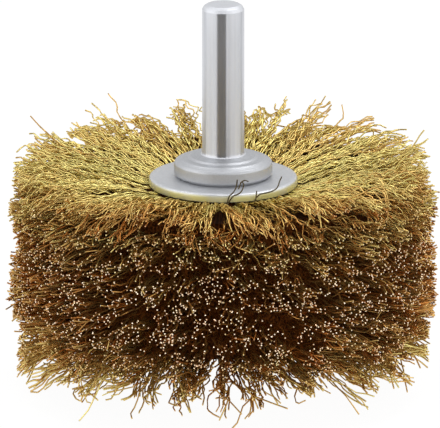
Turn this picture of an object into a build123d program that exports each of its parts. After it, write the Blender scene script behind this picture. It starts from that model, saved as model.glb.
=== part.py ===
from build123d import *
import math
import os

# Wood texturing brush: a wide wheel of crimped, brass-coated steel wire on a round drill shank.
#
# The frame is in millimetres. +Z runs along the shank, towards its free end. The origin is on the
# axis, in the plane of the lowest wire tips, so the brush stands on z = 0 with the shank up.
#
# A stepped steel spindle runs through the hub. Its upper, thicker end is the shank that a chuck
# grips. Below the shoulder it passes through a turned collar, two pressed flanges and the core
# sleeve that holds the flanges apart, and its lower end is riveted over a washer. Between the
# flanges, side by side on the sleeve, lie the wire rows. The wires of a row are folded double over
# a steel retaining ring, so each row has a lower and an upper layer of wire legs. The legs are
# crimped, and bunch together into locks that widen and part towards the rim.

# Shank and spindle
shank_diameter = 10.0
shank_length = 36.5  # the free end above the collar
shank_chamfer = 1.2
shank_foot = 0.5  # how far the shank's conical foot spreads on the collar
spindle_diameter = 8.0

# Turned collar under the shank, its top a low cone
collar_diameter = 23.3
collar_wall = 3.7
collar_rise = 1.6
collar_chamfer = 0.6  # on the upper outer edge
collar_lower_chamfer = 0.8

# Pressed flanges, each a shallow cup whose lip turns towards the wire
hub_width = 39.0  # over both flanges
flange_diameter = 35.3
flange_sheet = 1.2
flange_lip = 2.0
flange_bend = 0.8  # bevel where the sheet turns down into the lip

# Core sleeve
sleeve_wall = 2.0

# Riveted lower end
washer_diameter = 18.0
washer_thickness = 1.0
washer_chamfer = 0.3
rivet_diameter = 11.0
rivet_height = 0.8

# Wire fill
brush_diameter = 100.0
face_width = 43.0  # the band of wire tips round the rim
row_count = 4
ring_section = 3.2  # square section of the retaining rings
lock_count = 20  # locks in one layer of legs
lock_fill = 0.86  # share of the circle that the locks take up
lock_root_depth = 1.0  # how far the locks run into the folded wire
leg_gap = 0.4  # between the two layers of a row, and between rows beyond the hub
fold_slit = 0.2  # between the two layers where they close outside the ring
face_runs = 3  # straight runs between the crimps of a lock in the two outermost layers
inner_runs = 2  # and in the layers between
crimp_height = 0.9  # how far a crimp swings to each side
shoulder_radius = 27.0  # where the outer layers have swelled out from under the flanges
shoulder_share = 0.62  # how much of their swelling they have reached there
taper_length = 4.0  # the tapered end of each lock
taper_depth = 0.5  # how much a lock thins there, on each side
face_taper_depth = 1.2  # and on the outer side of the two outermost layers
lock_setback = 1.0  # how much shorter every second lock is
lock_flare = 1.6  # how far every second lock stands out from the others on the two faces
layer_trims = (1.1, 0.2, 0.0, 0.0, 0.9, 0.5, 0.0, 0.4)  # cut off each layer, from the lowest up

# Clearances
bore_clearance = 0.05  # round the spindle, the sleeve and the rings
wire_clearance = 0.2  # between the wires and a flange's lip
neck_reach = 0.6  # how far the wires stay pinched beyond the flanges

# Levels along the axis
lower_flange_face = (face_width - hub_width) / 2
upper_flange_face = lower_flange_face + hub_width
stack_bottom = lower_flange_face + flange_sheet
stack_top = upper_flange_face - flange_sheet
row_pitch = (stack_top - stack_bottom) / row_count
collar_edge_level = upper_flange_face + collar_wall
shoulder_level = collar_edge_level + collar_rise
shank_end = shoulder_level + shank_length
washer_face = lower_flange_face - washer_thickness

# Radii
shank_radius = shank_diameter / 2
spindle_radius = spindle_diameter / 2
bore_radius = spindle_radius + bore_clearance
foot_radius = shank_radius + shank_foot
flange_radius = flange_diameter / 2
lip_bore_radius = flange_radius - flange_sheet
sleeve_radius = bore_radius + sleeve_wall
row_bore_radius = sleeve_radius + bore_clearance
fold_thickness = (row_pitch - ring_section) / 2 - bore_clearance
ring_seat_radius = row_bore_radius + fold_thickness
ring_inner_radius = ring_seat_radius + bore_clearance
pack_radius = lip_bore_radius - wire_clearance
neck_radius = flange_radius + neck_reach
rim_radius = brush_diameter / 2

layer_count = 2 * row_count
lock_pitch = 360 / lock_count
lowest_neck = lower_flange_face + flange_lip + wire_clearance
highest_neck = upper_flange_face - flange_lip - wire_clearance


def hub_level(boundary):
    """Height of a boundary between layers where the wires leave the hub, 0 being the lowest."""
    level = stack_bottom + boundary * row_pitch / 2
    return min(max(level, lowest_neck), highest_neck)


def rim_level(boundary):
    """Height of the same boundary at the rim."""
    return boundary * face_width / layer_count


def side_line(boundary, side, proud, reach):
    """The floor or the roof of a lock as (radius, height) points, from its root to its tip.

    side is +1 for a floor and -1 for a roof. The two outermost boundaries stay pinched past the
    flange and then swell out to a shoulder, and a proud lock flares on from there to the full
    face width. All other sides taper at the tip.
    """
    hub, rim = hub_level(boundary), rim_level(boundary)
    root = pack_radius - lock_root_depth
    taper_radius = reach - taper_length
    if boundary not in (0, layer_count):
        hub, rim = hub + side * leg_gap / 2, rim + side * leg_gap / 2
        level = hub + (rim - hub) * (taper_radius - root) / (reach - root)
        return [(root, hub), (taper_radius, level), (reach, rim + side * taper_depth)]
    shoulder = hub + shoulder_share * (rim - hub)
    line = [(root, hub), (neck_radius, hub), (shoulder_radius, shoulder)]
    if proud:
        return line + [(reach, rim)]
    rim += side * lock_flare
    return line + [(taper_radius, rim), (reach, rim + side * face_taper_depth)]


def make_lock(layer, proud):
    """One crimped lock of wire legs in a layer, lying along +X. A proud one is long and flared."""
    root = pack_radius - lock_root_depth
    tip_radius = rim_radius - layer_trims[layer] - (0 if proud else lock_setback)
    tip_half_width = lock_fill * math.pi * tip_radius / lock_count
    reach = math.sqrt(tip_radius**2 - (tip_half_width + crimp_height) ** 2)
    runs = face_runs if layer in (0, layer_count - 1) else inner_runs
    run = (reach - root) / runs
    left, right = [], []
    for k in range(runs + 1):
        radius = root + k * run
        half_width = lock_fill * math.pi * radius / lock_count
        swing = crimp_height * (0 if k == 0 else (-1) ** k)
        left.append((radius, swing + half_width))
        right.append((radius, swing - half_width))
    floor = side_line(layer, 1, proud, reach)
    roof = side_line(layer + 1, -1, proud, reach)
    with BuildPart() as lock:
        with BuildSketch():
            with BuildLine():
                Polyline(*left, *reversed(right), close=True)
            make_face()
        extrude(amount=face_width)
        with BuildSketch(Plane.XZ):
            with BuildLine():
                Polyline(*floor, *reversed(roof), close=True)
            make_face()
        extrude(amount=rim_radius, both=True, mode=Mode.INTERSECT)
    return lock.part


def make_flange(outer_face, inward):
    """A pressed flange. inward is +1 where the wire lies above the outer face and -1 below it."""
    with BuildPart() as flange:
        with BuildSketch(Plane.XY.offset(outer_face)):
            Circle(flange_radius)
            Circle(bore_radius, mode=Mode.SUBTRACT)
        extrude(amount=inward * flange_sheet)
        with BuildSketch(Plane.XY.offset(outer_face)):
            Circle(flange_radius)
            Circle(lip_bore_radius, mode=Mode.SUBTRACT)
        extrude(amount=inward * flange_lip)
        rim_edges = flange.edges().filter_by(GeomType.CIRCLE).group_by(SortBy.RADIUS)[-1]
        outer_edge = rim_edges.sort_by(Axis.Z)[0 if inward > 0 else -1]
        chamfer(outer_edge, flange_bend)
    return flange.part


os.makedirs("parts", exist_ok=True)


# Spindle: shank, foot, turned-down stem and riveted end in one turned steel piece
with BuildPart() as spindle:
    with BuildSketch(Plane.XZ):
        with BuildLine():
            axis_line = Line((0, washer_face - rivet_height), (0, shank_end))
            end_face = Line(axis_line @ 1, (shank_radius - shank_chamfer, shank_end))
            bevel = Line(end_face @ 1, (shank_radius, shank_end - shank_chamfer))
            wall = Line(bevel @ 1, (shank_radius, shoulder_level + 2 * shank_foot))
            foot = Line(wall @ 1, (foot_radius, shoulder_level))
            shoulder = Line(foot @ 1, (spindle_radius, shoulder_level))
            stem = Line(shoulder @ 1, (spindle_radius, washer_face))
            seat = Line(stem @ 1, (rivet_diameter / 2, washer_face))
            dome = TangentArc(axis_line @ 0, seat @ 1, tangent=(1, 0))
        make_face()
    revolve(axis=Axis.Z)
spindle.part.label = "spindle"
export_step(spindle.part, "parts/spindle.step")


# Collar: thick turned washer with a low cone on top, clamped between shank and upper flange
with BuildPart() as collar:
    with BuildSketch(Plane.XZ):
        with BuildLine():
            Polyline(
                (bore_radius, upper_flange_face),
                (collar_diameter / 2, upper_flange_face),
                (collar_diameter / 2, collar_edge_level),
                (foot_radius, shoulder_level),
                (bore_radius, shoulder_level),
                close=True,
            )
        make_face()
    revolve(axis=Axis.Z)
    widest = collar.edges().filter_by(GeomType.CIRCLE).group_by(SortBy.RADIUS)[-1]
    chamfer(widest.sort_by(Axis.Z)[-1], collar_chamfer)
    chamfer(widest.sort_by(Axis.Z)[0], collar_lower_chamfer)
collar.part.label = "collar"
export_step(collar.part, "parts/collar.step")


# Flanges: the two pressed cups that clamp the folded wire
upper_flange = make_flange(upper_flange_face, -1)
upper_flange.label = "upper_flange"
export_step(upper_flange, "parts/upper_flange.step")

lower_flange = make_flange(lower_flange_face, 1)
lower_flange.label = "lower_flange"
export_step(lower_flange, "parts/lower_flange.step")


# Core sleeve: the tube that sets the distance between the flanges
with BuildPart() as core_sleeve:
    with BuildSketch(Plane.XY.offset(stack_bottom)):
        Circle(sleeve_radius)
        Circle(bore_radius, mode=Mode.SUBTRACT)
    extrude(amount=stack_top - stack_bottom)
core_sleeve.part.label = "core_sleeve"
export_step(core_sleeve.part, "parts/core_sleeve.step")


# Rivet washer: under the spread end of the spindle
with BuildPart() as rivet_washer:
    with BuildSketch(Plane.XY.offset(washer_face)):
        Circle(washer_diameter / 2)
        Circle(bore_radius, mode=Mode.SUBTRACT)
    extrude(amount=washer_thickness)
    outer = rivet_washer.edges().filter_by(GeomType.CIRCLE).group_by(SortBy.RADIUS)[-1]
    chamfer(outer.sort_by(Axis.Z)[0], washer_chamfer)
rivet_washer.part.label = "rivet_washer"
export_step(rivet_washer.part, "parts/rivet_washer.step")


# Wire rows, from the lowest up, each with the ring that its wires are folded over
for row in range(row_count):
    row_bottom = stack_bottom + row * row_pitch
    row_middle = row_bottom + row_pitch / 2

    with BuildPart() as retaining_ring:
        with BuildSketch(Plane.XY.offset(row_middle - ring_section / 2)):
            Circle(ring_inner_radius + ring_section)
            Circle(ring_inner_radius, mode=Mode.SUBTRACT)
        extrude(amount=ring_section)
    retaining_ring.part.label = f"retaining_ring_{row + 1}"
    export_step(retaining_ring.part, f"parts/retaining_ring_{row + 1}.step")

    # The fold wraps the ring from inside, and its two layers of legs close again outside it.
    seat_half_height = ring_section / 2 + bore_clearance
    seat_outer_radius = ring_inner_radius + ring_section + bore_clearance
    with BuildPart() as wire_row:
        with BuildSketch(Plane.XZ):
            with BuildLine():
                Polyline(
                    (row_bore_radius, row_bottom),
                    (pack_radius, row_bottom),
                    (pack_radius, row_middle - fold_slit / 2),
                    (seat_outer_radius, row_middle - fold_slit / 2),
                    (seat_outer_radius, row_middle - seat_half_height),
                    (ring_seat_radius, row_middle - seat_half_height),
                    (ring_seat_radius, row_middle + seat_half_height),
                    (seat_outer_radius, row_middle + seat_half_height),
                    (seat_outer_radius, row_middle + fold_slit / 2),
                    (pack_radius, row_middle + fold_slit / 2),
                    (pack_radius, row_bottom + row_pitch),
                    (row_bore_radius, row_bottom + row_pitch),
                    close=True,
                )
            make_face()
        revolve(axis=Axis.Z)
        for layer in (2 * row, 2 * row + 1):
            for proud in (True, False):
                lock = make_lock(layer, proud)
                turned = (layer % 2) / 2 + (0 if proud else 1)
                with PolarLocations(0, lock_count // 2, start_angle=turned * lock_pitch):
                    add(lock)
    wire_row.part.label = f"wire_row_{row + 1}"
    export_step(wire_row.part, f"parts/wire_row_{row + 1}.step")
    print(f"wire_row_{row + 1}", round(wire_row.part.volume), len(wire_row.part.solids()))
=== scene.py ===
"""Looks for the wood texturing brush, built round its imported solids.

Lengths are in metres, in the solids' own frame: +Z runs along the shank, and the brush stands on
its lowest wires near z = 0. The hub is turned and pressed steel. The fill is thousands of crimped,
brass-coated steel wires in four rows, each row a lower and an upper layer of wire legs.
"""

import math

import bpy
import numpy as np
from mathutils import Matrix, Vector


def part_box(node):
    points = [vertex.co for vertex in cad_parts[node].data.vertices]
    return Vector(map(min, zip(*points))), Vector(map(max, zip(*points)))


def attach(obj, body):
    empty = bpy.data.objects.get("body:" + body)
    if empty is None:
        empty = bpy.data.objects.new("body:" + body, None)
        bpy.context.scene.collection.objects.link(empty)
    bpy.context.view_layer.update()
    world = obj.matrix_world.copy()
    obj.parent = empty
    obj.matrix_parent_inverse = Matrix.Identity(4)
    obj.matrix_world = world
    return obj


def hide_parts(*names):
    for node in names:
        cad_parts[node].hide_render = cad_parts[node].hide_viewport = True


bl_info = {
    "name": "Wood Texturing Brush",
    "version": (1, 0, 0),
    "blender": (4, 5, 0),
    "location": "3D View > Sidebar > Brush",
    "description": "Dresses the wood texturing brush: turned hub, crimped wires, studio",
    "category": "Object",
}

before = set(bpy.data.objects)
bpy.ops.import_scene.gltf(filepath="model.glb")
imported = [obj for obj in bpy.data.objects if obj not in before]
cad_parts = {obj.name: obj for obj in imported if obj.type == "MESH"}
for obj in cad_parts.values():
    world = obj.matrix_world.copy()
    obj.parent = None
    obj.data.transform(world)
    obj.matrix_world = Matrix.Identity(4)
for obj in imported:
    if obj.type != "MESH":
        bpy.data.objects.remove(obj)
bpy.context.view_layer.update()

MM = 0.001
ROWS = 4
LAYERS = 2 * ROWS

# Places that the solids give
SPINDLE_LOW, SPINDLE_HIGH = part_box("spindle")
COLLAR_LOW, COLLAR_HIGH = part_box("collar")
UPPER_LOW, UPPER_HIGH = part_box("upper_flange")
LOWER_LOW, LOWER_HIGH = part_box("lower_flange")
WASHER_LOW, WASHER_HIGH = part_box("rivet_washer")
ROW_BOXES = [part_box(f"wire_row_{row + 1}") for row in range(ROWS)]
SLEEVE_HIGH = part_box("core_sleeve")[1]

SHANK_TOP = SPINDLE_HIGH.z
SHOULDER = COLLAR_HIGH.z
HUB_TOP = UPPER_HIGH.z
HUB_BOTTOM = LOWER_LOW.z
FLANGE_RADIUS = UPPER_HIGH.x
COLLAR_RADIUS = COLLAR_HIGH.x
WASHER_RADIUS = WASHER_HIGH.x
RIVET_RADIUS = SPINDLE_HIGH.x
RIM_RADIUS = max(max(high.x, high.y) for _, high in ROW_BOXES)
RIM_BOTTOM = ROW_BOXES[0][0].z
RIM_TOP = ROW_BOXES[-1][1].z
SLEEVE_RADIUS = SLEEVE_HIGH.x
# Between a bore and what goes through it
BORE_CLEARANCE = 0.05 * MM


def linear(code):
    """An sRGB hex colour as linear RGBA."""
    channels = [int(code[i : i + 2], 16) / 255 for i in (1, 3, 5)]
    bent = [c / 12.92 if c <= 0.04045 else ((c + 0.055) / 1.055) ** 2.4 for c in channels]
    return (*bent, 1.0)


def add_node(tree, kind, inputs=None, **settings):
    """Adds a shader node with its settings. An input is a value, or a socket to link from."""
    made = tree.nodes.new("ShaderNode" + kind)
    for key, value in settings.items():
        setattr(made, key, value)
    for key, value in (inputs or {}).items():
        socket = made.inputs[key]
        if isinstance(value, bpy.types.NodeSocket):
            tree.links.new(value, socket)
        else:
            socket.default_value = value
    return made


def radius_from_axis(tree, place):
    """A socket with a place's distance from the brush's axis, in metres."""
    flat = add_node(tree, "VectorMath", {0: place, 1: (1, 1, 0)}, operation="MULTIPLY")
    return add_node(tree, "VectorMath", {0: flat.outputs[0]}, operation="LENGTH").outputs["Value"]


def ground_steel_bar(tree, place, settings):
    """Free-cutting steel bar, centreless ground: satin grey, mirroring the room in long streaks."""
    # Grinding rings lie about 0.1 mm apart; 0.35 mm still shows in the render.
    ring_pitch = 0.35 * MM
    stretched = add_node(
        tree, "Mapping", {"Vector": place, "Scale": (80, 80, 1 / ring_pitch)}
    ).outputs[0]
    rings = add_node(
        tree, "TexNoise", {"Vector": stretched, "Scale": 1.0, "Detail": 2.0}
    ).outputs["Fac"]
    # Long faint marks from drawing run down the bar, about 0.6 mm apart.
    streaks = add_node(
        tree, "Mapping", {"Vector": place, "Scale": (1 / (0.6 * MM), 1 / (0.6 * MM), 25)}
    ).outputs[0]
    streaks = add_node(
        tree, "TexNoise", {"Vector": streaks, "Scale": 1.0, "Detail": 1.0}
    ).outputs["Fac"]
    gloss = add_node(
        tree, "MapRange", {"Value": rings, "To Min": 0.28, "To Max": 0.34}
    ).outputs["Result"]
    tone = add_node(
        tree,
        "Mix",
        {"Factor": streaks, 6: linear(settings.steel_shade), 7: linear(settings.steel_tone)},
        data_type="RGBA",
    ).outputs[2]
    relief = add_node(
        tree, "Bump", {"Strength": 0.5, "Distance": 0.02 * MM, "Height": rings}
    ).outputs["Normal"]
    around = add_node(tree, "Tangent", direction_type="RADIAL", axis="Z").outputs[0]
    return add_node(
        tree,
        "BsdfPrincipled",
        {
            "Base Color": tone,
            "Metallic": 1.0,
            "Roughness": gloss,
            "Anisotropic": 1.0,
            "Anisotropic Rotation": 0.25,
            "Normal": relief,
            "Tangent": around,
        },
    )


def sawn_steel(tree, place, settings):
    """The shank's end, sawn and bevelled: matt and pale, with small pits."""
    # Pits about 0.4 mm wide
    pits = add_node(
        tree, "TexNoise", {"Vector": place, "Scale": 1 / (0.4 * MM), "Detail": 2.0}
    ).outputs["Fac"]
    tone = add_node(
        tree,
        "Mix",
        {"Factor": pits, 6: linear(settings.steel_shade), 7: linear(settings.steel_tone)},
        data_type="RGBA",
    ).outputs[2]
    relief = add_node(
        tree, "Bump", {"Strength": 0.4, "Distance": 0.03 * MM, "Height": pits}
    ).outputs["Normal"]
    return add_node(
        tree,
        "BsdfPrincipled",
        {"Base Color": tone, "Metallic": 0.6, "Roughness": 0.5, "Normal": relief},
    )


def faced_steel(tree, place, settings):
    """Steel faced on a lathe: satin, with fine rings round the axis left by the tool."""
    radius = radius_from_axis(tree, place)
    # A facing cut feeds about 0.1 mm a turn; 0.45 mm still shows in the render.
    feed = 0.45 * MM
    turns = add_node(tree, "Math", {0: radius, 1: 1 / feed}, operation="MULTIPLY").outputs[0]
    rings = add_node(
        tree, "TexNoise", {"W": turns, "Scale": 1.0, "Detail": 3.0}, noise_dimensions="1D"
    ).outputs["Fac"]
    # Small pits and stains about 0.3 mm wide dull the surface.
    pits = add_node(
        tree, "TexNoise", {"Vector": place, "Scale": 1 / (0.3 * MM), "Detail": 2.0}
    ).outputs["Fac"]
    gloss = add_node(
        tree, "MapRange", {"Value": rings, "To Min": 0.36, "To Max": 0.54}
    ).outputs["Result"]
    tone = add_node(
        tree,
        "Mix",
        {"Factor": pits, 6: linear(settings.faced_shade), 7: linear(settings.faced_tone)},
        data_type="RGBA",
    ).outputs[2]
    height = add_node(
        tree, "Math", {0: pits, 1: 0.6, 2: rings}, operation="MULTIPLY_ADD"
    ).outputs[0]
    relief = add_node(
        tree, "Bump", {"Strength": 0.55, "Distance": 0.04 * MM, "Height": height}
    ).outputs["Normal"]
    return add_node(
        tree,
        "BsdfPrincipled",
        {"Base Color": tone, "Metallic": 0.7, "Roughness": gloss, "Normal": relief},
    )


def zinc_plated_sheet(tree, place, settings):
    """Pressed sheet with zinc plating: pale satin grey, with soft waves, a faint mottle and a
    painted reflection of the wires on its lip.
    """
    # Waves of the pressed sheet are about 4 mm long, and the plating's mottle 0.7 mm.
    waves = add_node(
        tree, "TexNoise", {"Vector": place, "Scale": 1 / (4 * MM), "Detail": 1.0}
    ).outputs["Fac"]
    mottle = add_node(
        tree, "TexNoise", {"Vector": place, "Scale": 1 / (0.7 * MM), "Detail": 3.0}
    ).outputs["Fac"]
    gloss = add_node(
        tree, "MapRange", {"Value": mottle, "To Min": 0.34, "To Max": 0.46}
    ).outputs["Result"]
    tone = add_node(
        tree,
        "Mix",
        {"Factor": mottle, 6: linear(settings.zinc_shade), 7: linear(settings.zinc_tone)},
        data_type="RGBA",
    ).outputs[2]
    height = add_node(
        tree, "Math", {0: mottle, 1: 0.15, 2: waves}, operation="MULTIPLY_ADD"
    ).outputs[0]
    relief = add_node(
        tree, "Bump", {"Strength": 0.3, "Distance": 0.1 * MM, "Height": height}
    ).outputs["Normal"]
    # Painted reflection: where the sheet stands upright on the lip it is tinted yellow in patches
    # and made less metallic, standing in for the brass wires that it mirrors.
    facing = add_node(tree, "TexCoord").outputs["Normal"]
    rise = add_node(tree, "SeparateXYZ", {0: facing}).outputs["Z"]
    rise = add_node(tree, "Math", {0: rise}, operation="ABSOLUTE").outputs[0]
    painted_reflection_mask = add_node(
        tree, "MapRange", {"Value": rise, "From Min": 0.7, "From Max": 0.2}
    ).outputs["Result"]
    patchy = add_node(
        tree, "MapRange", {"Value": waves, "From Min": 0.3, "From Max": 0.6, "To Min": 0.6}
    ).outputs["Result"]
    painted_reflection_mask = add_node(tree, "Math", {0: painted_reflection_mask, 1: patchy}, operation="MULTIPLY").outputs[0]
    tone = add_node(
        tree,
        "Mix",
        {"Factor": painted_reflection_mask, 6: tone, 7: linear(settings.painted_lip_reflection)},
        data_type="RGBA",
    ).outputs[2]
    shine = add_node(
        tree, "MapRange", {"Value": painted_reflection_mask, "To Min": 0.75, "To Max": 0.35}
    ).outputs["Result"]
    return add_node(
        tree,
        "BsdfPrincipled",
        {"Base Color": tone, "Metallic": shine, "Roughness": gloss, "Normal": relief},
    )


def drawn_steel(tree, place, settings):
    """Drawn tube and ring stock, as rolled: dull grey with a light grain."""
    grain = add_node(
        tree, "TexNoise", {"Vector": place, "Scale": 1 / (0.5 * MM), "Detail": 3.0}
    ).outputs["Fac"]
    gloss = add_node(
        tree, "MapRange", {"Value": grain, "To Min": 0.35, "To Max": 0.55}
    ).outputs["Result"]
    return add_node(
        tree,
        "BsdfPrincipled",
        {"Base Color": linear(settings.steel_tone), "Metallic": 1.0, "Roughness": gloss},
    )


def drawn_brass_coated_wire(tree, place, settings):
    """Drawn steel wire with a brass coat: golden, with coppery lengths that are partly painted
    shade, and bare steel at the cut.

    Each wire carries its own tone, painted shade included, and, along its length, the distance to
    its cut tip.
    """
    tone = add_node(tree, "Attribute", attribute_name="tone").outputs["Fac"]
    gap = add_node(tree, "Attribute", attribute_name="tip_gap").outputs["Fac"]
    cut = add_node(tree, "Attribute", attribute_name="cut").outputs["Fac"]
    # The coat varies along a wire over about 3 mm.
    blotch = add_node(
        tree, "TexNoise", {"Vector": place, "Scale": 1 / (3 * MM), "Detail": 2.0}
    ).outputs["Fac"]
    mixed = add_node(
        tree, "Math", {0: blotch, 1: 0.6, 2: tone}, operation="MULTIPLY_ADD"
    ).outputs[0]
    level = add_node(
        tree, "MapRange", {"Value": mixed, "From Min": 0.3, "From Max": 1.3}
    ).outputs["Result"]
    # The tone also carries painted shade, which this mix turns into darker, more coppery coat.
    coat = add_node(
        tree,
        "Mix",
        {"Factor": level, 6: linear(settings.coat_dark_and_shade), 7: linear(settings.coat_light)},
        data_type="RGBA",
    ).outputs[2]
    # The cut leaves bare, pale steel on each tip, cleaner on some than on others.
    bare = add_node(
        tree,
        "MapRange",
        {"Value": gap, "From Min": 0.09, "From Max": 0.02, "To Min": 0.0, "To Max": cut},
    ).outputs["Result"]
    colour = add_node(
        tree,
        "Mix",
        {"Factor": bare, 6: coat, 7: linear(settings.tip_tone)},
        data_type="RGBA",
    ).outputs[2]
    shine = add_node(
        tree, "MapRange", {"Value": bare, "To Min": 0.88, "To Max": 0.1}
    ).outputs["Result"]
    return add_node(
        tree,
        "BsdfPrincipled",
        {
            "Base Color": colour,
            "Metallic": shine,
            "Roughness": 0.23,
            "Specular Tint": linear(settings.coat_edge),
        },
    )


def dark_brass_wire(tree, place, settings):
    """The same wire, coloured darker: dark olive brown with a soft shine."""
    blotch = add_node(
        tree, "TexNoise", {"Vector": place, "Scale": 1 / (1.5 * MM), "Detail": 2.0}
    ).outputs["Fac"]
    colour = add_node(
        tree,
        "Mix",
        {"Factor": blotch, 6: linear("#221b0c"), 7: linear("#5e4e2a")},
        data_type="RGBA",
    ).outputs[2]
    return add_node(
        tree, "BsdfPrincipled", {"Base Color": colour, "Metallic": 0.5, "Roughness": 0.45}
    )


def painted_shade_wire_mass(tree, place, settings):
    """Painted shade: the wire mass deep in the fill, where light comes back only from wire to wire,
    is coloured deep brown with streaks like shaded wires.
    """
    flat = add_node(tree, "VectorMath", {0: place, 1: (1, 1, 0)}, operation="MULTIPLY").outputs[0]
    outward = add_node(tree, "VectorMath", {0: flat}, operation="NORMALIZE").outputs[0]
    # Wires run outwards 0.34 mm apart, so the pattern changes round the axis and with height;
    # 0.6 mm still shows near the hub.
    spacing = 0.6 * MM
    around = add_node(
        tree, "VectorMath", {0: outward, "Scale": RIM_RADIUS / spacing}, operation="SCALE"
    ).outputs[0]
    upward = add_node(
        tree, "VectorMath", {0: place, 1: (60, 60, 1 / spacing)}, operation="MULTIPLY"
    ).outputs[0]
    spot = add_node(tree, "VectorMath", {0: around, 1: upward}, operation="ADD").outputs[0]
    streaks = add_node(
        tree, "TexNoise", {"Vector": spot, "Scale": 1.0, "Detail": 2.0}
    ).outputs["Fac"]
    level = add_node(
        tree, "MapRange", {"Value": streaks, "From Min": 0.4, "From Max": 0.65}
    ).outputs["Result"]
    colour = add_node(
        tree,
        "Mix",
        {"Factor": level, 6: linear("#1a0a02"), 7: linear("#4a260b")},
        data_type="RGBA",
    ).outputs[2]
    relief = add_node(
        tree, "Bump", {"Strength": 0.8, "Distance": 0.3 * MM, "Height": streaks}
    ).outputs["Normal"]
    return add_node(
        tree,
        "BsdfPrincipled",
        {
            "Base Color": colour,
            "Roughness": 0.8,
            "Specular IOR Level": 0.05,
            "Normal": relief,
        },
    )


FINISHES = {}


def finish_of(surface, settings):
    """The material that is named for a surface function, made on its first use only.

    The function gets the tree, a socket with the place on the piece, and the settings. It
    returns its last shader.
    """
    if surface not in FINISHES:
        material = bpy.data.materials.new(surface.__name__)
        material.use_nodes = True
        tree = material.node_tree
        tree.nodes.clear()
        place = add_node(tree, "TexCoord").outputs["Object"]
        shader = surface(tree, place, settings)
        add_node(tree, "OutputMaterial", {"Surface": shader.outputs[0]})
        FINISHES[surface] = material
    return FINISHES[surface]


def clear_selection():
    """Leaves edit mode and deselects everything."""
    if bpy.context.object is not None and bpy.context.object.mode != "OBJECT":
        bpy.ops.object.mode_set(mode="OBJECT")
    bpy.ops.object.select_all(action="DESELECT")


def turn(name, outline):
    """A turned piece. outline is its closed section as (radius, height) points, in order."""
    clear_selection()
    start_radius, start_height = outline[0]
    bpy.ops.mesh.primitive_circle_add(
        vertices=128, radius=start_radius, location=(0, 0, start_height)
    )
    piece = bpy.context.object
    piece.name = name
    bpy.ops.object.transform_apply(location=True, rotation=True, scale=True)
    bpy.ops.object.mode_set(mode="EDIT")
    bpy.ops.mesh.select_all(action="SELECT")
    radius, height = start_radius, start_height
    for next_radius, next_height in [*outline[1:], outline[0]]:
        bpy.ops.mesh.extrude_edges_move(
            TRANSFORM_OT_translate={"value": (0, 0, next_height - height)}
        )
        share = next_radius / radius
        bpy.ops.transform.resize(value=(share, share, 1), center_override=(0, 0, next_height))
        radius, height = next_radius, next_height
    bpy.ops.mesh.select_all(action="SELECT")
    bpy.ops.mesh.remove_doubles(threshold=0.001 * MM)
    bpy.ops.mesh.normals_make_consistent(inside=False)
    bpy.ops.object.mode_set(mode="OBJECT")
    return piece


def round_edges(piece, width, angle=25.0):
    """Rounds a piece's edges that are sharper than an angle, and smooths what lies between."""
    clear_selection()
    piece.select_set(True)
    bpy.context.view_layer.objects.active = piece
    bevel = piece.modifiers.new("round", "BEVEL")
    bevel.width = width
    bevel.segments = 3
    bevel.limit_method = "ANGLE"
    bevel.angle_limit = math.radians(angle)
    bpy.ops.object.modifier_apply(modifier=bevel.name)
    bpy.ops.object.shade_smooth_by_angle(angle=math.radians(40))


def arc(centre, radius, start, end, steps):
    """Points of an arc in the (radius, height) plane, angles in degrees."""
    turns = [math.radians(start + (end - start) * i / steps) for i in range(steps + 1)]
    return [(centre[0] + radius * math.cos(a), centre[1] + radius * math.sin(a)) for a in turns]


def finish_piece(piece, material, slot, *nodes):
    """Gives a piece its material, hangs it under the root body and hides the nodes that it stands
    for.
    """
    piece.data.materials.clear()
    piece.data.materials.append(material)
    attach(piece, "root")
    if nodes:
        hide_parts(*nodes)


def length(name, description, default):
    """A length as a property, in metres."""
    return bpy.props.FloatProperty(
        name=name, description=description, default=default, unit="LENGTH"
    )


def hex_tone(name, description, default):
    """A colour as a property, written as an sRGB hex value."""
    text = f"{description}, as an sRGB hex value"
    return bpy.props.StringProperty(name=name, description=text, default=default)


class HubSettings(bpy.types.PropertyGroup):
    """Sizes and tones of the metal hub."""

    shank_diameter: length(
        "Shank diameter", "Diameter of the round shank that the chuck grips", 10 * MM
    )
    shank_bevel: length(
        "Shank bevel", "Height and depth of the bevel at the shank's free end", 1.2 * MM
    )
    foot_spread: length(
        "Foot spread", "How far the shank's hollow foot spreads on the collar", 0.4 * MM
    )
    stem_diameter: length("Stem diameter", "Diameter of the spindle inside the hub", 8 * MM)
    collar_rise: length(
        "Collar rise", "How far the collar's top rises from its edge to the shank", 1.6 * MM
    )
    sheet: length("Flange sheet", "Thickness of the pressed flanges", 1.2 * MM)
    steel_tone: hex_tone("Steel tone", "Colour of the bare steel", "#d3d5da")
    steel_shade: hex_tone(
        "Steel shade", "Colour of the bare steel in its marks and pits", "#c1c3c8"
    )
    faced_tone: hex_tone(
        "Faced steel tone", "Colour of the steel where the lathe faced it", "#c0c2c6"
    )
    faced_shade: hex_tone("Faced steel shade", "Colour of the faced steel in its pits", "#a8aaae")
    zinc_tone: hex_tone("Zinc tone", "Colour of the zinc plating", "#d4d6da")
    zinc_shade: hex_tone(
        "Zinc shade", "Colour of the zinc plating in its duller spots", "#c2c4c8"
    )
    # Painted reflection: this yellow on the upright lip stands in for the brass wires that the lip
    # mirrors.
    painted_lip_reflection: hex_tone(
        "Passivate tone", "Colour of the yellow passivate on the flange's lip", "#cac48a"
    )


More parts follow.
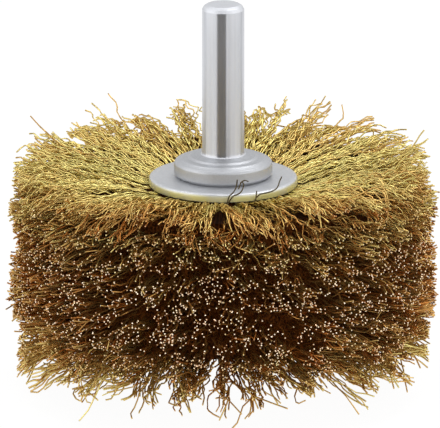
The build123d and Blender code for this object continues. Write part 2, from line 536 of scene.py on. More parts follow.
class WireSettings(bpy.types.PropertyGroup):
    """Sizes and tones of the crimped wires."""

    wire_diameter: length("Wire diameter", "Diameter of one wire", 0.34 * MM)
    crimp_pitch: length("Crimp pitch", "Length of one full wave of the crimp", 4.4 * MM)
    crimp_height: length("Crimp height", "How far a crimp swings to each side", 0.36 * MM)
    legs_per_layer: bpy.props.IntProperty(
        name="Wires per layer",
        description="How many wire legs one layer holds",
        default=1250,
    )
    tuft_width: length("Tuft width", "Width of a bunch of wires at the rim", 4.6 * MM)
    strand_wires: bpy.props.IntProperty(
        name="Wires per strand",
        description="How many neighbouring wires run together in a strand at the two faces",
        default=3,
    )
    seed: bpy.props.IntProperty(
        name="Seed", description="Start of the random numbers", default=7
    )
    coat_light: hex_tone("Light coat", "Colour of the brass coat where it is palest", "#e6d88a")
    # The dark coat also serves as the painted shade of the shaded rows and of the wires' deeper
    # lengths.
    coat_dark_and_shade: hex_tone("Dark coat", "Colour of the brass coat where it is coppery", "#bb7a3c")
    coat_edge: hex_tone(
        "Coat at its edges", "Tint of the brass coat seen at a glancing angle", "#efd39a"
    )
    tip_tone: hex_tone("Tip tone", "Colour of the bare cut tips", "#ffecd2")


class StudioSettings(bpy.types.PropertyGroup):
    """The floor, the lights and the camera."""

    camera_distance: length("Camera distance", "From the camera to the brush", 3.0)
    camera_elevation: bpy.props.FloatProperty(
        name="Camera elevation",
        description="Angle of the camera above the horizon",
        default=math.radians(15.35),
        unit="ROTATION",
    )
    view_width: length("View width", "Width of what the camera sees at the brush", 104.27 * MM)
    aim_height: length(
        "Aim height", "Height of the point at the middle of the picture", 31.45 * MM
    )
    aim_left: length(
        "Aim left", "How far the middle of the picture lies to the left of the axis", 0.75 * MM
    )
    floor_drop: length(
        "Floor drop", "How far the floor lies below the lowest full row of wires", 11 * MM
    )


class BRUSH_OT_spindle(bpy.types.Operator):
    """Turn the shank, its foot, the stem and the riveted end as one piece"""

    bl_idname = "brush.spindle"
    bl_label = "Spindle"

    def execute(self, context):
        hub = context.scene.brush_hub
        radius = hub.shank_diameter / 2
        stem = hub.stem_diameter / 2
        bevel, spread = hub.shank_bevel, hub.foot_spread
        seat = WASHER_LOW.z
        centre = 0.02 * MM
        foot = arc((radius + 2 * spread, SHOULDER + 2 * spread), 2 * spread, 180, 270, 5)
        foot = [(radius + (r - radius) / 2, z) for r, z in foot]
        outline = [
            (centre, SHANK_TOP),
            (radius - bevel, SHANK_TOP),
            (radius - 0.35 * bevel, SHANK_TOP - 0.4 * bevel),
            (radius, SHANK_TOP - bevel),
            (radius, SHANK_TOP - 6 * bevel),
            *foot,
            (stem, SHOULDER),
            (stem, seat),
            (RIVET_RADIUS, seat),
            (RIVET_RADIUS * 0.7, seat - 0.55 * (seat - SPINDLE_LOW.z)),
            (RIVET_RADIUS * 0.35, seat - 0.9 * (seat - SPINDLE_LOW.z)),
            (centre, SPINDLE_LOW.z),
        ]
        piece = turn("shank_and_spindle", outline)
        round_edges(piece, 0.25 * MM)
        finish_piece(piece, finish_of(ground_steel_bar, hub), "turned_steel", "spindle")
        # Only the wall was ground. The end faces and their bevels are matt and have no grain.
        piece.data.materials.append(finish_of(sawn_steel, hub))
        for face in piece.data.polygons:
            face.material_index = int(abs(face.normal.z) > 0.3)
        return {"FINISHED"}


class BRUSH_OT_collar(bpy.types.Operator):
    """Turn the collar with its low conical top"""

    bl_idname = "brush.collar"
    bl_label = "Collar"

    def execute(self, context):
        hub = context.scene.brush_hub
        bore = hub.stem_diameter / 2 + BORE_CLEARANCE
        edge = SHOULDER - hub.collar_rise
        foot = hub.shank_diameter / 2 + hub.foot_spread
        lower_chamfer, upper_chamfer = 0.78 * MM, 0.45 * MM
        outline = [
            (bore, HUB_TOP),
            (COLLAR_RADIUS - lower_chamfer, HUB_TOP),
            (COLLAR_RADIUS, HUB_TOP + lower_chamfer),
            (COLLAR_RADIUS, edge - upper_chamfer),
            (COLLAR_RADIUS - upper_chamfer, edge + 0.05 * MM),
            # Shallow steps that the facing tool left between its passes
            (COLLAR_RADIUS - 1.3 * MM, SHOULDER - 0.80 * hub.collar_rise),
            (COLLAR_RADIUS - 1.9 * MM, SHOULDER - 0.58 * hub.collar_rise),
            (COLLAR_RADIUS - 3.3 * MM, SHOULDER - 0.48 * hub.collar_rise),
            (COLLAR_RADIUS - 4.0 * MM, SHOULDER - 0.22 * hub.collar_rise),
            (foot + 0.5 * MM, SHOULDER - 0.12 * hub.collar_rise),
            (foot, SHOULDER),
            (bore, SHOULDER),
        ]
        piece = turn("collar_dressed", outline)
        round_edges(piece, 0.2 * MM, angle=20)
        material = finish_of(faced_steel, hub)
        finish_piece(piece, material, "turned_steel", "collar")
        return {"FINISHED"}


class BRUSH_OT_flanges(bpy.types.Operator):
    """Press the two flanges with their turned lips"""

    bl_idname = "brush.flanges"
    bl_label = "Flanges"

    def execute(self, context):
        hub = context.scene.brush_hub
        material = finish_of(zinc_plated_sheet, hub)
        bore = hub.stem_diameter / 2 + BORE_CLEARANCE
        bend = 0.8 * MM
        for name, node, face, lip, inward in (
            ("flange_above", "upper_flange", HUB_TOP, UPPER_LOW.z, -1),
            ("flange_below", "lower_flange", HUB_BOTTOM, LOWER_HIGH.z, 1),
        ):
            outline = [
                (bore, face),
                (FLANGE_RADIUS - bend - 0.5 * MM, face),
                (FLANGE_RADIUS - bend, face + inward * 0.04 * MM),
                (FLANGE_RADIUS - 0.3 * bend, face + inward * 0.3 * bend),
                (FLANGE_RADIUS, face + inward * bend),
                (FLANGE_RADIUS, lip),
                (FLANGE_RADIUS - hub.sheet, lip),
                (FLANGE_RADIUS - hub.sheet, face + inward * hub.sheet),
                (bore, face + inward * hub.sheet),
            ]
            piece = turn(name, outline)
            round_edges(piece, 0.2 * MM)
            finish_piece(piece, material, "zinc_plated_steel", node)
        return {"FINISHED"}


class BRUSH_OT_washer(bpy.types.Operator):
    """Make the washer under the riveted end"""

    bl_idname = "brush.washer"
    bl_label = "Rivet washer"

    def execute(self, context):
        hub = context.scene.brush_hub
        bore = hub.stem_diameter / 2 + BORE_CLEARANCE
        outline = [
            (bore, WASHER_LOW.z),
            (WASHER_RADIUS, WASHER_LOW.z),
            (WASHER_RADIUS, WASHER_HIGH.z),
            (bore, WASHER_HIGH.z),
        ]
        piece = turn("washer_dressed", outline)
        round_edges(piece, 0.22 * MM)
        material = finish_of(zinc_plated_sheet, hub)
        finish_piece(piece, material, "zinc_plated_steel", "rivet_washer")
        return {"FINISHED"}


class BRUSH_OT_inner_steel(bpy.types.Operator):
    """Give the sleeve and the retaining rings inside the fill their steel"""

    bl_idname = "brush.inner_steel"
    bl_label = "Sleeve and rings"

    def execute(self, context):
        material = finish_of(drawn_steel, context.scene.brush_hub)
        for name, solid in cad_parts.items():
            if name == "core_sleeve" or name.startswith("retaining_ring"):
                solid.data.materials.clear()
                solid.data.materials.append(material)
        return {"FINISHED"}


def hub_height(share):
    """Height where a wire leaves the hub, for its share of the way up the fill."""
    clear = 0.25 * MM
    low, high = LOWER_HIGH.z + clear, UPPER_LOW.z - clear
    return low + share * (high - low)


def rim_height(share):
    """Height of the same wire's tip when it lies where it should."""
    return RIM_BOTTOM + share * (RIM_TOP - RIM_BOTTOM)


def fan_height(share, way):
    """Height part of the way from the hub to the tip, for a share of the way up the fill."""
    return rim_height(share) * way + hub_height(share) * (1 - way)


def swell(share, way):
    """How much of its spread a wire has reached part of the way out. The outermost swell first."""
    outer = np.abs(share - 0.5) * 2
    return 1 - (1 - way) ** (1 + 2 * outer**3)


def gather_tufts(shared, wires, angle, high, rng):
    """Each wire's tuft, how many tufts there are, and by wire its angle off the tuft's middle,
    the tuft's lean along the rim and how far it hangs out of a face.

    A layer has a low and a high tier of tufts. The two lowest layers hang together in wider
    tufts, which they share.
    """
    tufts = round(2 * math.pi * RIM_RADIUS / wires.tuft_width / (1.35 if shared else 1))
    tuft = np.zeros(len(angle), int)
    off_middle, lean, hang = np.zeros((3, len(angle)))
    for tier in (0, 1):
        source = np.random.default_rng(wires.seed + LAYERS) if shared else rng
        # Tufts of uneven width round the rim
        widths = source.uniform(0.45, 1.7, tufts)
        leans = source.normal(0, 1.9 * MM, tufts)
        hangs = source.exponential((4.4 if shared else 2.4) * MM, tufts)
        edges = np.cumsum(widths) / widths.sum() * 2 * math.pi
        middles = edges - widths / widths.sum() * math.pi
        mine = high == tier
        which = np.minimum(np.searchsorted(edges, angle[mine]), tufts - 1)
        tuft[mine] = which + tufts * tier
        off_middle[mine] = angle[mine] - middles[which]
        lean[mine] = leans[which]
        hang[mine] = hangs[which]
    return tuft, 2 * tufts, off_middle, lean, hang


def layer_wires(layer, wires, rng):
    """Centre lines of one layer's wires by stations by xyz, with each wire's tuft and share."""
    from_outside = min(layer, LAYERS - 1 - layer)
    top = layer == LAYERS - 1
    # The outer layers are seen along their wires, so these start further in and bend finely.
    stations, inner = ((33, 16.8), (19, 24.0), (12, 36.0), (12, 36.0))[from_outside]
    inner *= MM
    count = round(wires.legs_per_layer * (1.2, 1.2, 1.1, 1.1)[from_outside])
    # The lowest layer shows little of its length, so it bends less finely.
    if layer == 0:
        stations = 28

    # Where the wires stand on the hub. Towards the two faces they run in thin strands.
    strand = np.arange(count) // max(wires.strand_wires - from_outside, 1)
    strands = int(strand[-1]) + 1
    place = rng.random(strands)[strand] + rng.normal(0, 0.12, count)
    place = 1 - np.abs(1 - np.abs(place))
    # The outermost wires lie closer towards the face.
    if layer == 0:
        place = place**1.25
    elif top:
        place = 1 - place**1.25
    share = (layer + place) / LAYERS
    angle = (strand + rng.random(strands)[strand]) / strands * 2 * math.pi
    angle = np.clip(angle + rng.normal(0, 0.03, count), 0, 2 * math.pi)
    high = (share * LAYERS - layer > 0.5).astype(int)
    shared = layer < 2
    tuft, bunches, off_middle, lean, hang = gather_tufts(shared, wires, angle, high, rng)
    off_height = (share * LAYERS - layer - (0.25 + 0.5 * high)) / LAYERS

    # How far a tuft gathers its wires, and how tufts and strands differ in place and crimp
    least, most = ((0.7, 0.95), (0.5, 0.8))[layer] if shared else (0.2, 0.6)
    pull = rng.uniform(least, most, bunches)[tuft]
    lift = rng.normal(0, 1.0 * MM, bunches)[tuft]
    reach = rng.normal(0, 0.45 * MM, bunches)[tuft]
    phase = (rng.random(strands) * 2 * math.pi)[strand] + rng.normal(0, 0.5, count)
    tilt = (rng.random(strands) * math.pi)[strand] + rng.normal(0, 0.4, count)
    pitch = wires.crimp_pitch * rng.normal(1, 0.08, bunches)[tuft]
    height = wires.crimp_height * rng.uniform(0.7, 1.35, bunches)[tuft]
    if top:
        height = 1.2 * height

    # The tufts at the two faces splay outwards
    alone = np.zeros(count, bool)
    if from_outside == 0:
        side = 1 if top else -1
        outer = high if top else 1 - high
        most_splay, tight_from = 7.5 * MM, 4 * MM
        splay = np.minimum(hang, most_splay) * (outer if top else 0.4 + 0.6 * outer)
        # The top has been pressed flatter at the front than at the back.
        if top:
            splay = splay * (0.7 + 0.3 * np.sin(angle))
        lift = np.abs(lift) * side * outer + lift * (1 - outer)
        # The further a wire reaches out of the face, the closer it lies to its tuft's middle.
        out = rng.uniform(0.15, 1.05, strands)[strand] + rng.normal(0, 0.07, count)
        lift = lift + side * splay * out
        tight = 0.75 if top else 0.95
        pull = pull + (tight - pull) * np.clip(splay / tight_from, 0, 1) * out
        # A few stand well clear of the face, but none at the front of the top one.
        alone = (rng.random(count) < (0.03 if top else 0.08)) & (outer == 1)
        alone = alone & ((layer == 0) | (np.sin(angle) > -0.6))
        lift = lift + side * alone * rng.uniform(1, 7 if top else 5, count) * MM

    # Tips. More than a quarter are short, and each layer ends at a slightly different radius.
    row_reach = (-1.1, -0.2, 0.2, 0.0, -0.9, -0.5, -0.1, -1.1)[layer] * MM
    short = np.where(rng.random(count) < 0.28, rng.random(count) * 3.4 * MM, 0)
    tip_radius = RIM_RADIUS + row_reach + reach + rng.normal(0, 0.3 * MM, count) - short
    astray = rng.normal(0, (0.5 if shared else 1.0) * MM, strands)[strand]
    astray = astray + rng.normal(0, 0.35 * MM, count)
    tip_angle = angle - pull * off_middle + (lean + astray) / RIM_RADIUS
    tip_height = (
        rim_height(share)
        - pull * off_height * (RIM_TOP - RIM_BOTTOM)
        + lift
        + rng.normal(0, 0.45 * MM, strands)[strand]
        + rng.normal(0, 0.25 * MM, count)
    )
    # The longest hang down to just above the floor.
    tip_height = np.maximum(tip_height, RIM_BOTTOM - 8 * MM)

    # The last station but one is close behind the tip, where the bare steel of the cut begins.
    cut_zone = 0.15 * MM
    way = np.append(np.linspace(0, 1 - cut_zone / (RIM_RADIUS - inner), stations - 1), 1)[None, :]
    radius = inner + (tip_radius[:, None] - inner) * way
    clear = FLANGE_RADIUS + 1.2 * MM
    hub_way = (radius - clear) / (RIM_RADIUS - clear)
    hub_way = np.clip(hub_way, 0, 1)
    level = hub_height(share)[:, None]
    settled = swell(share[:, None], hub_way)
    if layer == 0:
        settled = hub_way**0.8
    level = level + (rim_height(share)[:, None] - level) * settled
    # A wire leaves its layer and its own bearing only towards the rim.
    late, turned = (3.2, 1) if shared else (2.2, 2)
    level = level + (tip_height - rim_height(share))[:, None] * hub_way**late
    bearing = angle[:, None] + (tip_angle - angle)[:, None] * hub_way**turned

    # Crimp, and a slow wander that grows towards the tip
    turn_of = 2 * math.pi * radius / pitch[:, None] + phase[:, None]
    swing = height[:, None] * np.sin(turn_of) * (0.35 + 0.65 * np.clip(hub_way * 4, 0, 1))
    across = swing * np.cos(tilt)[:, None]
    upward = swing * np.sin(tilt)[:, None]
    stray = alone | (rng.random(count) < (0.03, 0.02, 0, 0)[from_outside])
    loose = (2.1, 0.85, 0.85, 0.85, 0.85, 0.85, 1.0, 1.25)[layer]
    wander = np.abs(rng.normal(0, loose * MM, strands))[strand] * rng.uniform(0.7, 1.3, count)
    wander = wander + stray * rng.uniform(1, 3.6, count) * MM
    slow = 2 * math.pi * radius / (rng.uniform(11, 28, strands)[strand] * MM)[:, None]
    start = (rng.random(strands) * 2 * math.pi)[strand] + rng.normal(0, 0.3, count)
    slow = np.sin(slow + start[:, None]) * hub_way**1.3
    heading = ((rng.random(strands) * 2 * math.pi)[strand] + rng.normal(0, 0.3, count))[:, None]
    across = across + wander[:, None] * slow * np.cos(heading)
    upward = upward + wander[:, None] * slow * np.sin(heading)
    # Use has bent the last few millimetres, each bunch its own way, and the upper ones down.
    bent_length = 7 * MM
    bend = np.clip((radius - tip_radius[:, None]) / bent_length + 1, 0, 1) ** 2
    sideways = rng.normal(0, 1.0 * MM, bunches)[tuft] + rng.normal(0, 0.6 * MM, strands)[strand]
    sideways = sideways + rng.normal(0, 0.3 * MM, count)
    down = (0, 0.3, 0, 0, 0.2, 0.5, 0.3, 0.6)[layer] * MM
    if top:
        down = down + 1.2 * MM * np.clip(-np.sin(angle), 0, 1)
    down = down + rng.normal(0, 0.7 * MM, bunches)[tuft]
    down = down + rng.normal(0, 0.5 * MM, strands)[strand]
    across = across + sideways[:, None] * bend
    upward = upward - down[:, None] * bend

    cosine, sine = np.cos(bearing), np.sin(bearing)
    lines = np.stack(
        [radius * cosine - across * sine, radius * sine + across * cosine, level + upward], -1
    )
    return lines, tuft, share


def wire_mesh(name, lines, thickness, looks, rng):
    """One mesh of closed four-sided wires along the given centre lines, with flat cut ends."""
    count, stations, _ = lines.shape
    sides = 4
    along = np.gradient(lines, axis=1)
    along /= np.linalg.norm(along, axis=2, keepdims=True)
    across = np.cross(along, (0.0, 0.0, 1.0))
    across /= np.linalg.norm(across, axis=2, keepdims=True)
    upward = np.cross(across, along)
    # A four-sided wire looks about as wide as a round one at this size of its corners.
    corner_radius = np.full(stations, thickness / 2 * 1.08)
    # The shears spread each tip a little.
    corner_radius[-1] *= 1.05
    corner_radius = corner_radius[None, :, None, None]
    turned = rng.random(count)[:, None] * 2 * math.pi
    turned = turned + np.arange(sides)[None, :] * 2 * math.pi / sides
    cosine = np.cos(turned)[:, None, :, None] * corner_radius
    sine = np.sin(turned)[:, None, :, None] * corner_radius
    corners = lines[:, :, None, :] + cosine * across[:, :, None, :] + sine * upward[:, :, None, :]

    first = np.arange(count)[:, None, None] * stations * sides
    ring = np.arange(stations - 1)[None, :, None] * sides
    side = np.arange(sides)[None, None, :]
    beside = (side + 1) % sides
    a = first + ring + side
    b = first + ring + beside
    quads = np.stack([a, b, b + sides, a + sides], -1).reshape(-1, 4)
    ends = np.arange(sides)[None, :]
    root = first[:, 0] + ends[:, ::-1]
    tip = first[:, 0] + (stations - 1) * sides + ends

    mesh = bpy.data.meshes.new(name)
    mesh.vertices.add(count * stations * sides)
    mesh.vertices.foreach_set("co", corners.astype(np.float32).ravel())
    corner_list = np.concatenate([quads.ravel(), root.ravel(), tip.ravel()])
    mesh.loops.add(len(corner_list))
    mesh.loops.foreach_set("vertex_index", corner_list.astype(np.int32))
    sizes = np.full(len(quads) + 2 * count, sides)
    mesh.polygons.add(len(sizes))
    mesh.polygons.foreach_set("loop_start", (np.cumsum(sizes) - sizes).astype(np.int32))
    smooth = np.concatenate([np.ones(len(quads), bool), np.zeros(2 * count, bool)])
    mesh.polygons.foreach_set("use_smooth", smooth)
    mesh.update(calc_edges=True)

    steps = np.linalg.norm(np.diff(lines, axis=1), axis=2) / MM
    gap = np.concatenate([np.cumsum(steps[:, ::-1], 1)[:, ::-1], np.zeros((count, 1))], 1)
    gap = np.repeat(gap[:, :, None], sides, 2)
    spread = {key: np.broadcast_to(v[:, :, None], gap.shape) for key, v in looks.items()}
    for label, values in {"tip_gap": gap, **spread}.items():
        attribute = mesh.attributes.new(label, "FLOAT", "POINT")
        attribute.data.foreach_set("value", values.astype(np.float32).ravel())
    return mesh


def wire_tones_and_shade(layer, lines, tuft, share, rng):
    """Each wire's tone along its length, painted shade included, and how pale its cut tip is."""
    top = layer == LAYERS - 1
    # Painted shade: the coat is yellower at the two faces, which are lit, and more coppery in the
    # shaded rows between them.
    heights = (0, 0.15, 0.3, 0.68, 0.8, 0.9, 0.97)
    tone = np.interp(share, heights, (0.58, 0.26, 0.13, 0.15, 0.42, 0.6, 0.86))
    tone = tone + 0.3 * (rng.random(int(tuft.max()) + 1)[tuft] - 0.5)
    tone = tone + (0.42 if top else 0.45) * (rng.random(len(tuft)) - 0.5)
    tone = tone - 0.25 * (rng.random(len(tuft)) < (0.02 if top else 0.1))
    # Painted shade: at the top the coat is palest near the hub, and below it near the tips, darker
    # deeper in the fill.
    outward = np.linalg.norm(lines[:, :, :2], axis=2) / RIM_RADIUS
    if top:
        # It turns browner towards the rim, most of all at the front, as painted shade.
        front = np.clip(-lines[:, -1:, 1] / RIM_RADIUS, 0, 1) ** 2
        along = -0.14 * np.interp(outward, (0.6, 0.95), (0, 1))
        along = along - 0.36 * front * np.interp(outward, (0.45, 0.85), (0, 1))
    else:
        along = np.interp(outward, (0.74, 0.97), (-0.14, 0.1))
    # The tips of the middle rows are palest, those at the two faces least pale.
    tip_paleness = (0.25, 0.65, 1.0, 1.0, 0.95, 0.75, 0.4, 0.2)[layer]
    cut = tip_paleness * rng.uniform(0.3, 1.0, len(tuft)) ** 1.2
    return tone[:, None] + along, cut[:, None]


class BRUSH_OT_wires(bpy.types.Operator):
    """Lay the crimped wires of every row, layer by layer"""

    bl_idname = "brush.wires"
    bl_label = "Wire rows"

    def execute(self, context):
        wires = context.scene.brush_wires
        material = finish_of(drawn_brass_coated_wire, wires)
        for layer in range(LAYERS):
            rng = np.random.default_rng(wires.seed + layer)
            lines, tuft, share = layer_wires(layer, wires, rng)
            tone, cut = wire_tones_and_shade(layer, lines, tuft, share, rng)
            half = "upper" if layer % 2 else "lower"
            row = f"wire_row_{layer // 2 + 1}"
            bearing = np.arctan2(lines[:, -1, 1], lines[:, -1, 0])
            # The outer layers hold more wire, so each is kept as several sectors.
            sectors = (2, 2, 1, 1, 1, 1, 2, 3)[layer]
            sector = np.floor((bearing / (2 * math.pi) % 1) * sectors).astype(int)
            for number in range(sectors):
                chosen = sector == number
                name = f"wires_{layer // 2 + 1}_{half}"
                if sectors > 1:
                    name += f"_{number + 1}"
                looks = {"tone": tone[chosen], "cut": cut[chosen]}
                mesh = wire_mesh(name, lines[chosen], wires.wire_diameter, looks, rng)
                piece = bpy.data.objects.new(name, mesh)
                context.scene.collection.objects.link(piece)
                finish_piece(piece, material, "brass_coated_wire", row)
        return {"FINISHED"}


# Wires at the front that have come loose from the top row and stand over the flange, as points
# in mm
LOOSE_WIRES = (
    (
        (0.9, -21.6, 39.4), (1.2, -20.9, 41.5), (2.3, -20.6, 42.2), (2.8, -19.9, 42.8),
        (3.2, -19.4, 43.7), (3.3, -19.2, 45.1),
    ),
    (
        (1.0, -21.8, 39.6), (2.1, -20.9, 41.6), (3.3, -20.7, 41.8), (4.1, -20.2, 42.2),
        (4.6, -19.6, 42.9), (4.9, -19.0, 44.0), (4.3, -18.9, 44.6), (3.9, -19.2, 43.7),
        (3.6, -19.6, 42.9),
    ),
    ((4.0, -18.9, 44.1), (4.6, -18.8, 44.7), (5.4, -18.6, 44.8), (5.9, -18.5, 44.4)),
    ((7.6, -20.8, 39.8), (7.7, -20.5, 41.2), (7.9, -20.1, 42.6)),
    (
        (7.2, -21.3, 40.2), (8.1, -20.3, 41.7), (9.6, -19.7, 41.9), (11.1, -18.3, 41.8),
        (12.2, -17.0, 42.0), (12.9, -16.2, 42.5), (13.3, -15.4, 43.8), (13.8, -15.0, 44.7),
    ),
)


class BRUSH_OT_loose_wires(bpy.types.Operator):
    """Add the few loose wires that stand over the flange"""

    bl_idname = "brush.loose_wires"
    bl_label = "Loose wires"

    def execute(self, context):
        wires = context.scene.brush_wires
        material = finish_of(dark_brass_wire, wires)
        for number, points in enumerate(LOOSE_WIRES, 1):
            curve = bpy.data.curves.new(f"loose_wire_{number}", "CURVE")
            curve.dimensions = "3D"
            curve.bevel_depth = 0.48 * wires.wire_diameter
            curve.bevel_resolution = 1
            curve.resolution_u = 6
            curve.use_fill_caps = True
            spline = curve.splines.new("NURBS")
            spline.points.add(len(points) - 1)
            for point, place in zip(spline.points, points):
                point.co = (*(c * MM for c in place), 1)
            spline.order_u = 3
            spline.use_endpoint_u = True
            shaped = bpy.data.objects.new(curve.name, curve)
            context.scene.collection.objects.link(shaped)
            mesh = bpy.data.meshes.new_from_object(shaped)
            bpy.data.objects.remove(shaped)
            bpy.data.curves.remove(curve)
            piece = bpy.data.objects.new(f"loose_wire_{number}", mesh)
            context.scene.collection.objects.link(piece)
            finish_piece(piece, material, "brass_coated_wire", "wire_row_4")
        return {"FINISHED"}


class BRUSH_OT_fill_core(bpy.types.Operator):
    """Fill the inside of each row with its dense wire mass, coloured in painted shade"""

    bl_idname = "brush.fill_core"
    bl_label = "Inner wire mass"

    def execute(self, context):
        material = finish_of(painted_shade_wire_mass, context.scene.brush_wires)
        bore = SLEEVE_RADIUS + BORE_CLEARANCE
        neck = FLANGE_RADIUS - 1.3 * MM
        bend = FLANGE_RADIUS + 2.4 * MM
        middle = 24 * MM
        outer = 39.5 * MM
        # How deep the mass stays below the upper face, the lower face and a neighbouring row
        upper_depth = 2.7 * MM
        lower_depth = 2.4 * upper_depth
        beside = 0.05 * MM
        gap = 0.1 * MM
        # It stays further from a face just outside the flange's lip.
        lip_depth = 0.8 * MM
        for row in range(ROWS):
            lowest, highest = row == 0, row == ROWS - 1
            low, high = row / ROWS, (row + 1) / ROWS
            sink_low = lower_depth if lowest else beside
            sink_high = upper_depth if highest else beside
            ring_low, ring_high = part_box(f"retaining_ring_{row + 1}")
            seat = ring_high.x + gap
            outline = [
                (bore, hub_height(low) + beside),
                (neck, hub_height(low) + gap),
                (bend, hub_height(low) + (lip_depth if lowest else gap)),
                (middle, fan_height(low, 0.6) + sink_low),
                (outer, fan_height(low, 0.9) + sink_low),
                (outer, fan_height(high, 0.9) - sink_high),
                (middle, fan_height(high, 0.6) - sink_high),
                (bend, hub_height(high) - (lip_depth if highest else gap)),
                (neck, hub_height(high) - gap),
                (bore, hub_height(high) - beside),
                (bore, ring_high.z + gap),
                (seat, ring_high.z + gap),
                (seat, ring_low.z - gap),
                (bore, ring_low.z - gap),
            ]
            piece = turn(f"wire_mass_{row + 1}", outline)
            finish_piece(piece, material, "brass_coated_wire", f"wire_row_{row + 1}")
        return {"FINISHED"}


def soft_light(name, place, aim, size, energy):
    """A soft square lamp at a place, turned to a point."""
    lamp = bpy.data.lights.new(name, "AREA")
    lamp.shape = "SQUARE"
    lamp.size = size
    lamp.energy = energy
    holder = bpy.data.objects.new(name, lamp)
    bpy.context.scene.collection.objects.link(holder)
    holder.location = place
    holder.rotation_euler = (Vector(aim) - Vector(place)).to_track_quat("-Z", "Y").to_euler()
    return holder


# The room as bright metal mirrors it, all the way round: degrees from the camera's side towards
# the right, and brightness from there on
ROOM = (
    (-180, 0.86),
    (-165, 1.10),
    (-118, 0.88),
    (-108, 0.70),
    (-40, 1.05),
    (-33, 0.17),
    (16.4, 1.40),
    (22, 1.20),
    (38, 0.68),
    (108, 0.84),
    (120, 1.06),
    (165, 0.86),
)


def room_brightness(tree, direction):
    """A socket with the brightness of the room in a direction."""
    parts = add_node(tree, "SeparateXYZ", {0: direction}).outputs
    front = add_node(tree, "Math", {0: parts["Y"], 1: -1.0}, operation="MULTIPLY").outputs[0]
    bearing = add_node(tree, "Math", {0: parts["X"], 1: front}, operation="ARCTAN2").outputs[0]
    share = add_node(
        tree, "MapRange", {"Value": bearing, "From Min": -math.pi, "From Max": math.pi}
    ).outputs["Result"]
    ramp = add_node(tree, "ValToRGB", {"Fac": share})
    stops = ramp.color_ramp
    stops.interpolation = "LINEAR"
    # Each step in brightness blends over this many degrees on both sides of it.
    edge = 1.2
    spots = []
    for i, (start, value) in enumerate(ROOM):
        before = ROOM[i - 1][1]
        spots += [(start - edge, before), (start + edge, value)] if i else [(start, value)]
    spots.append((180, ROOM[0][1]))
    while len(stops.elements) < len(spots):
        stops.elements.new(0.5)
    for stop, (degrees, value) in zip(stops.elements, spots):
        stop.position = (degrees + 180) / 360
        stop.color = (value, value, value, 1)
    return ramp.outputs["Color"]


def white_sweep(tree, place, settings):
    """White floor. Seen directly it keeps a trace of the shadow, and metal sees it as the room."""
    path = add_node(tree, "LightPath").outputs
    glossy = path["Is Glossy Ray"]
    seen = add_node(
        tree, "Math", {0: path["Is Camera Ray"], 1: glossy}, operation="MAXIMUM"
    ).outputs[0]
    # Close to the brush the floor is white all round.
    near, far = 0.13, 0.17
    away = add_node(
        tree,
        "MapRange",
        {"Value": radius_from_axis(tree, place), "From Min": near, "From Max": far},
    ).outputs["Result"]
    away = add_node(tree, "Math", {0: away, 1: glossy}, operation="MULTIPLY").outputs[0]
    shade = add_node(
        tree,
        "Mix",
        {"Factor": away, 6: (1, 1, 1, 1), 7: room_brightness(tree, place)},
        data_type="RGBA",
    ).outputs[2]
    back = add_node(tree, "NewGeometry").outputs["Backfacing"]
    # Most of what is seen glows a little over full white. The rest is matt and takes the shadow.
    glow_share, glow = 0.92, 1.03
    matt = add_node(tree, "BsdfDiffuse", {"Color": linear("#f0f0f0")}).outputs[0]
    white = add_node(tree, "Emission", {"Color": shade, "Strength": glow}).outputs[0]
    clear = add_node(tree, "BsdfTransparent").outputs[0]
    share = add_node(tree, "Math", {0: seen, 1: glow_share}, operation="MULTIPLY").outputs[0]
    mixed = add_node(tree, "MixShader", {0: share, 1: matt, 2: white}).outputs[0]
    return add_node(tree, "MixShader", {0: back, 1: mixed, 2: clear})


def soft_room():
    """The world: white behind the brush, plain light on it, and the room as metal mirrors it."""
    world = bpy.data.worlds.new("soft_room")
    world.use_nodes = True
    tree = world.node_tree
    tree.nodes.clear()
    path = add_node(tree, "LightPath").outputs
    seen = add_node(
        tree,
        "Math",
        {0: path["Is Camera Ray"], 1: path["Is Transmission Ray"]},
        operation="MAXIMUM",
    ).outputs[0]
    direction = add_node(tree, "TexCoord").outputs["Generated"]
    tone = add_node(
        tree,
        "Mix",
        {"Factor": path["Is Glossy Ray"], 6: (1, 1, 1, 1), 7: room_brightness(tree, direction)},
        data_type="RGBA",
    ).outputs[2]
    light, backdrop = 0.74, 1.0
    strength = add_node(
        tree, "MapRange", {"Value": seen, "To Min": light, "To Max": backdrop}
    ).outputs["Result"]
    sky = add_node(tree, "Background", {"Color": tone, "Strength": strength})
    output = add_node(tree, "OutputWorld")
    tree.links.new(sky.outputs[0], output.inputs["Surface"])
    return world


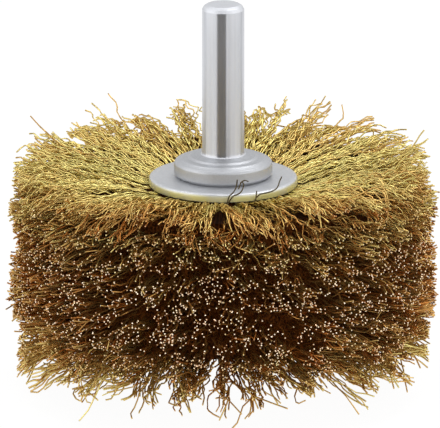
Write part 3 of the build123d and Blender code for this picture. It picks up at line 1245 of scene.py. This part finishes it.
class BRUSH_OT_studio(bpy.types.Operator):
    """Set up the pale floor, the soft lights and the camera"""

    bl_idname = "brush.studio"
    bl_label = "Studio"

    def execute(self, context):
        studio = context.scene.brush_studio
        scene = context.scene
        scene.view_settings.view_transform = "Standard"

        clear_selection()
        bpy.ops.mesh.primitive_circle_add(
            vertices=64, radius=12.0, fill_type="NGON", location=(0, 0, -studio.floor_drop)
        )
        floor = bpy.context.object
        floor.name = "studio_floor"
        bpy.ops.object.transform_apply(location=True, rotation=True, scale=True)
        floor.data.materials.append(finish_of(white_sweep, studio))
        scene.world = soft_room()

        middle = (0, 0, 0.03)
        soft_light("key_right", (0.38, 0.4, 1.05), middle, 0.4, 2.7)
        soft_light("key_left", (-0.38, 0.4, 1.05), middle, 0.4, 1.2)
        soft_light("spark_above", (0.0, -0.27, 1.0), middle, 0.22, 0.6)
        # The side lamps are for the metal's gloss alone and leave the matt cut ends be.
        for name, side, energy in (("side_left", -1, 8.4), ("side_right", 1, 7.0)):
            lamp = soft_light(name, (side * 0.9, -0.25, 0.35), middle, 1.4, energy)
            lamp.visible_diffuse = False
        # A broad frontal lamp that metal doesn't mirror: it lights what is matt, such as cut ends.
        front = soft_light("front_wash", (0.2, -2.0, 0.5), middle, 1.0, 33.0)
        front.visible_glossy = False

        aim = Vector((-studio.aim_left, 0, studio.aim_height))
        tilt = studio.camera_elevation
        toward = Vector((0, -math.cos(tilt), math.sin(tilt)))
        lens = bpy.data.cameras.new("catalogue_view")
        camera = bpy.data.objects.new("catalogue_view", lens)
        scene.collection.objects.link(camera)
        camera.location = aim + toward * studio.camera_distance
        camera.rotation_euler = (-toward).to_track_quat("-Z", "Y").to_euler()
        lens.lens = lens.sensor_width * studio.camera_distance / studio.view_width
        lens.clip_start, lens.clip_end = 0.1, 30.0
        scene.camera = camera
        return {"FINISHED"}


class BRUSH_PT_panel(bpy.types.Panel):
    """Lists the steps that dress the brush"""

    bl_label = "Wood Texturing Brush"
    bl_idname = "BRUSH_PT_panel"
    bl_space_type = "VIEW_3D"
    bl_region_type = "UI"
    bl_category = "Brush"

    def draw(self, context):
        for settings, steps in STEPS:
            group = getattr(context.scene, settings)
            box = self.layout.box()
            for key in group.bl_rna.properties.keys():
                if key not in ("name", "rna_type"):
                    box.prop(group, key)
            for step in steps:
                box.operator(step.bl_idname)


STEPS = (
    (
        "brush_hub",
        (
            BRUSH_OT_spindle,
            BRUSH_OT_collar,
            BRUSH_OT_flanges,
            BRUSH_OT_washer,
            BRUSH_OT_inner_steel,
        ),
    ),
    ("brush_wires", (BRUSH_OT_fill_core, BRUSH_OT_wires, BRUSH_OT_loose_wires)),
    ("brush_studio", (BRUSH_OT_studio,)),
)
GROUPS = (
    ("brush_hub", HubSettings),
    ("brush_wires", WireSettings),
    ("brush_studio", StudioSettings),
)


def register():
    for name, group in GROUPS:
        bpy.utils.register_class(group)
        setattr(bpy.types.Scene, name, bpy.props.PointerProperty(type=group))
    for _, steps in STEPS:
        for step in steps:
            bpy.utils.register_class(step)
    bpy.utils.register_class(BRUSH_PT_panel)


def unregister():
    bpy.utils.unregister_class(BRUSH_PT_panel)
    for _, steps in reversed(STEPS):
        for step in reversed(steps):
            bpy.utils.unregister_class(step)
    for name, group in reversed(GROUPS):
        delattr(bpy.types.Scene, name)
        bpy.utils.unregister_class(group)


def main():
    register()
    bpy.ops.brush.spindle()
    bpy.ops.brush.collar()
    bpy.ops.brush.flanges()
    bpy.ops.brush.washer()
    bpy.ops.brush.inner_steel()
    bpy.ops.brush.fill_core()
    bpy.ops.brush.wires()
    bpy.ops.brush.loose_wires()
    bpy.ops.brush.studio()


if __name__ == "__main__":
    main()
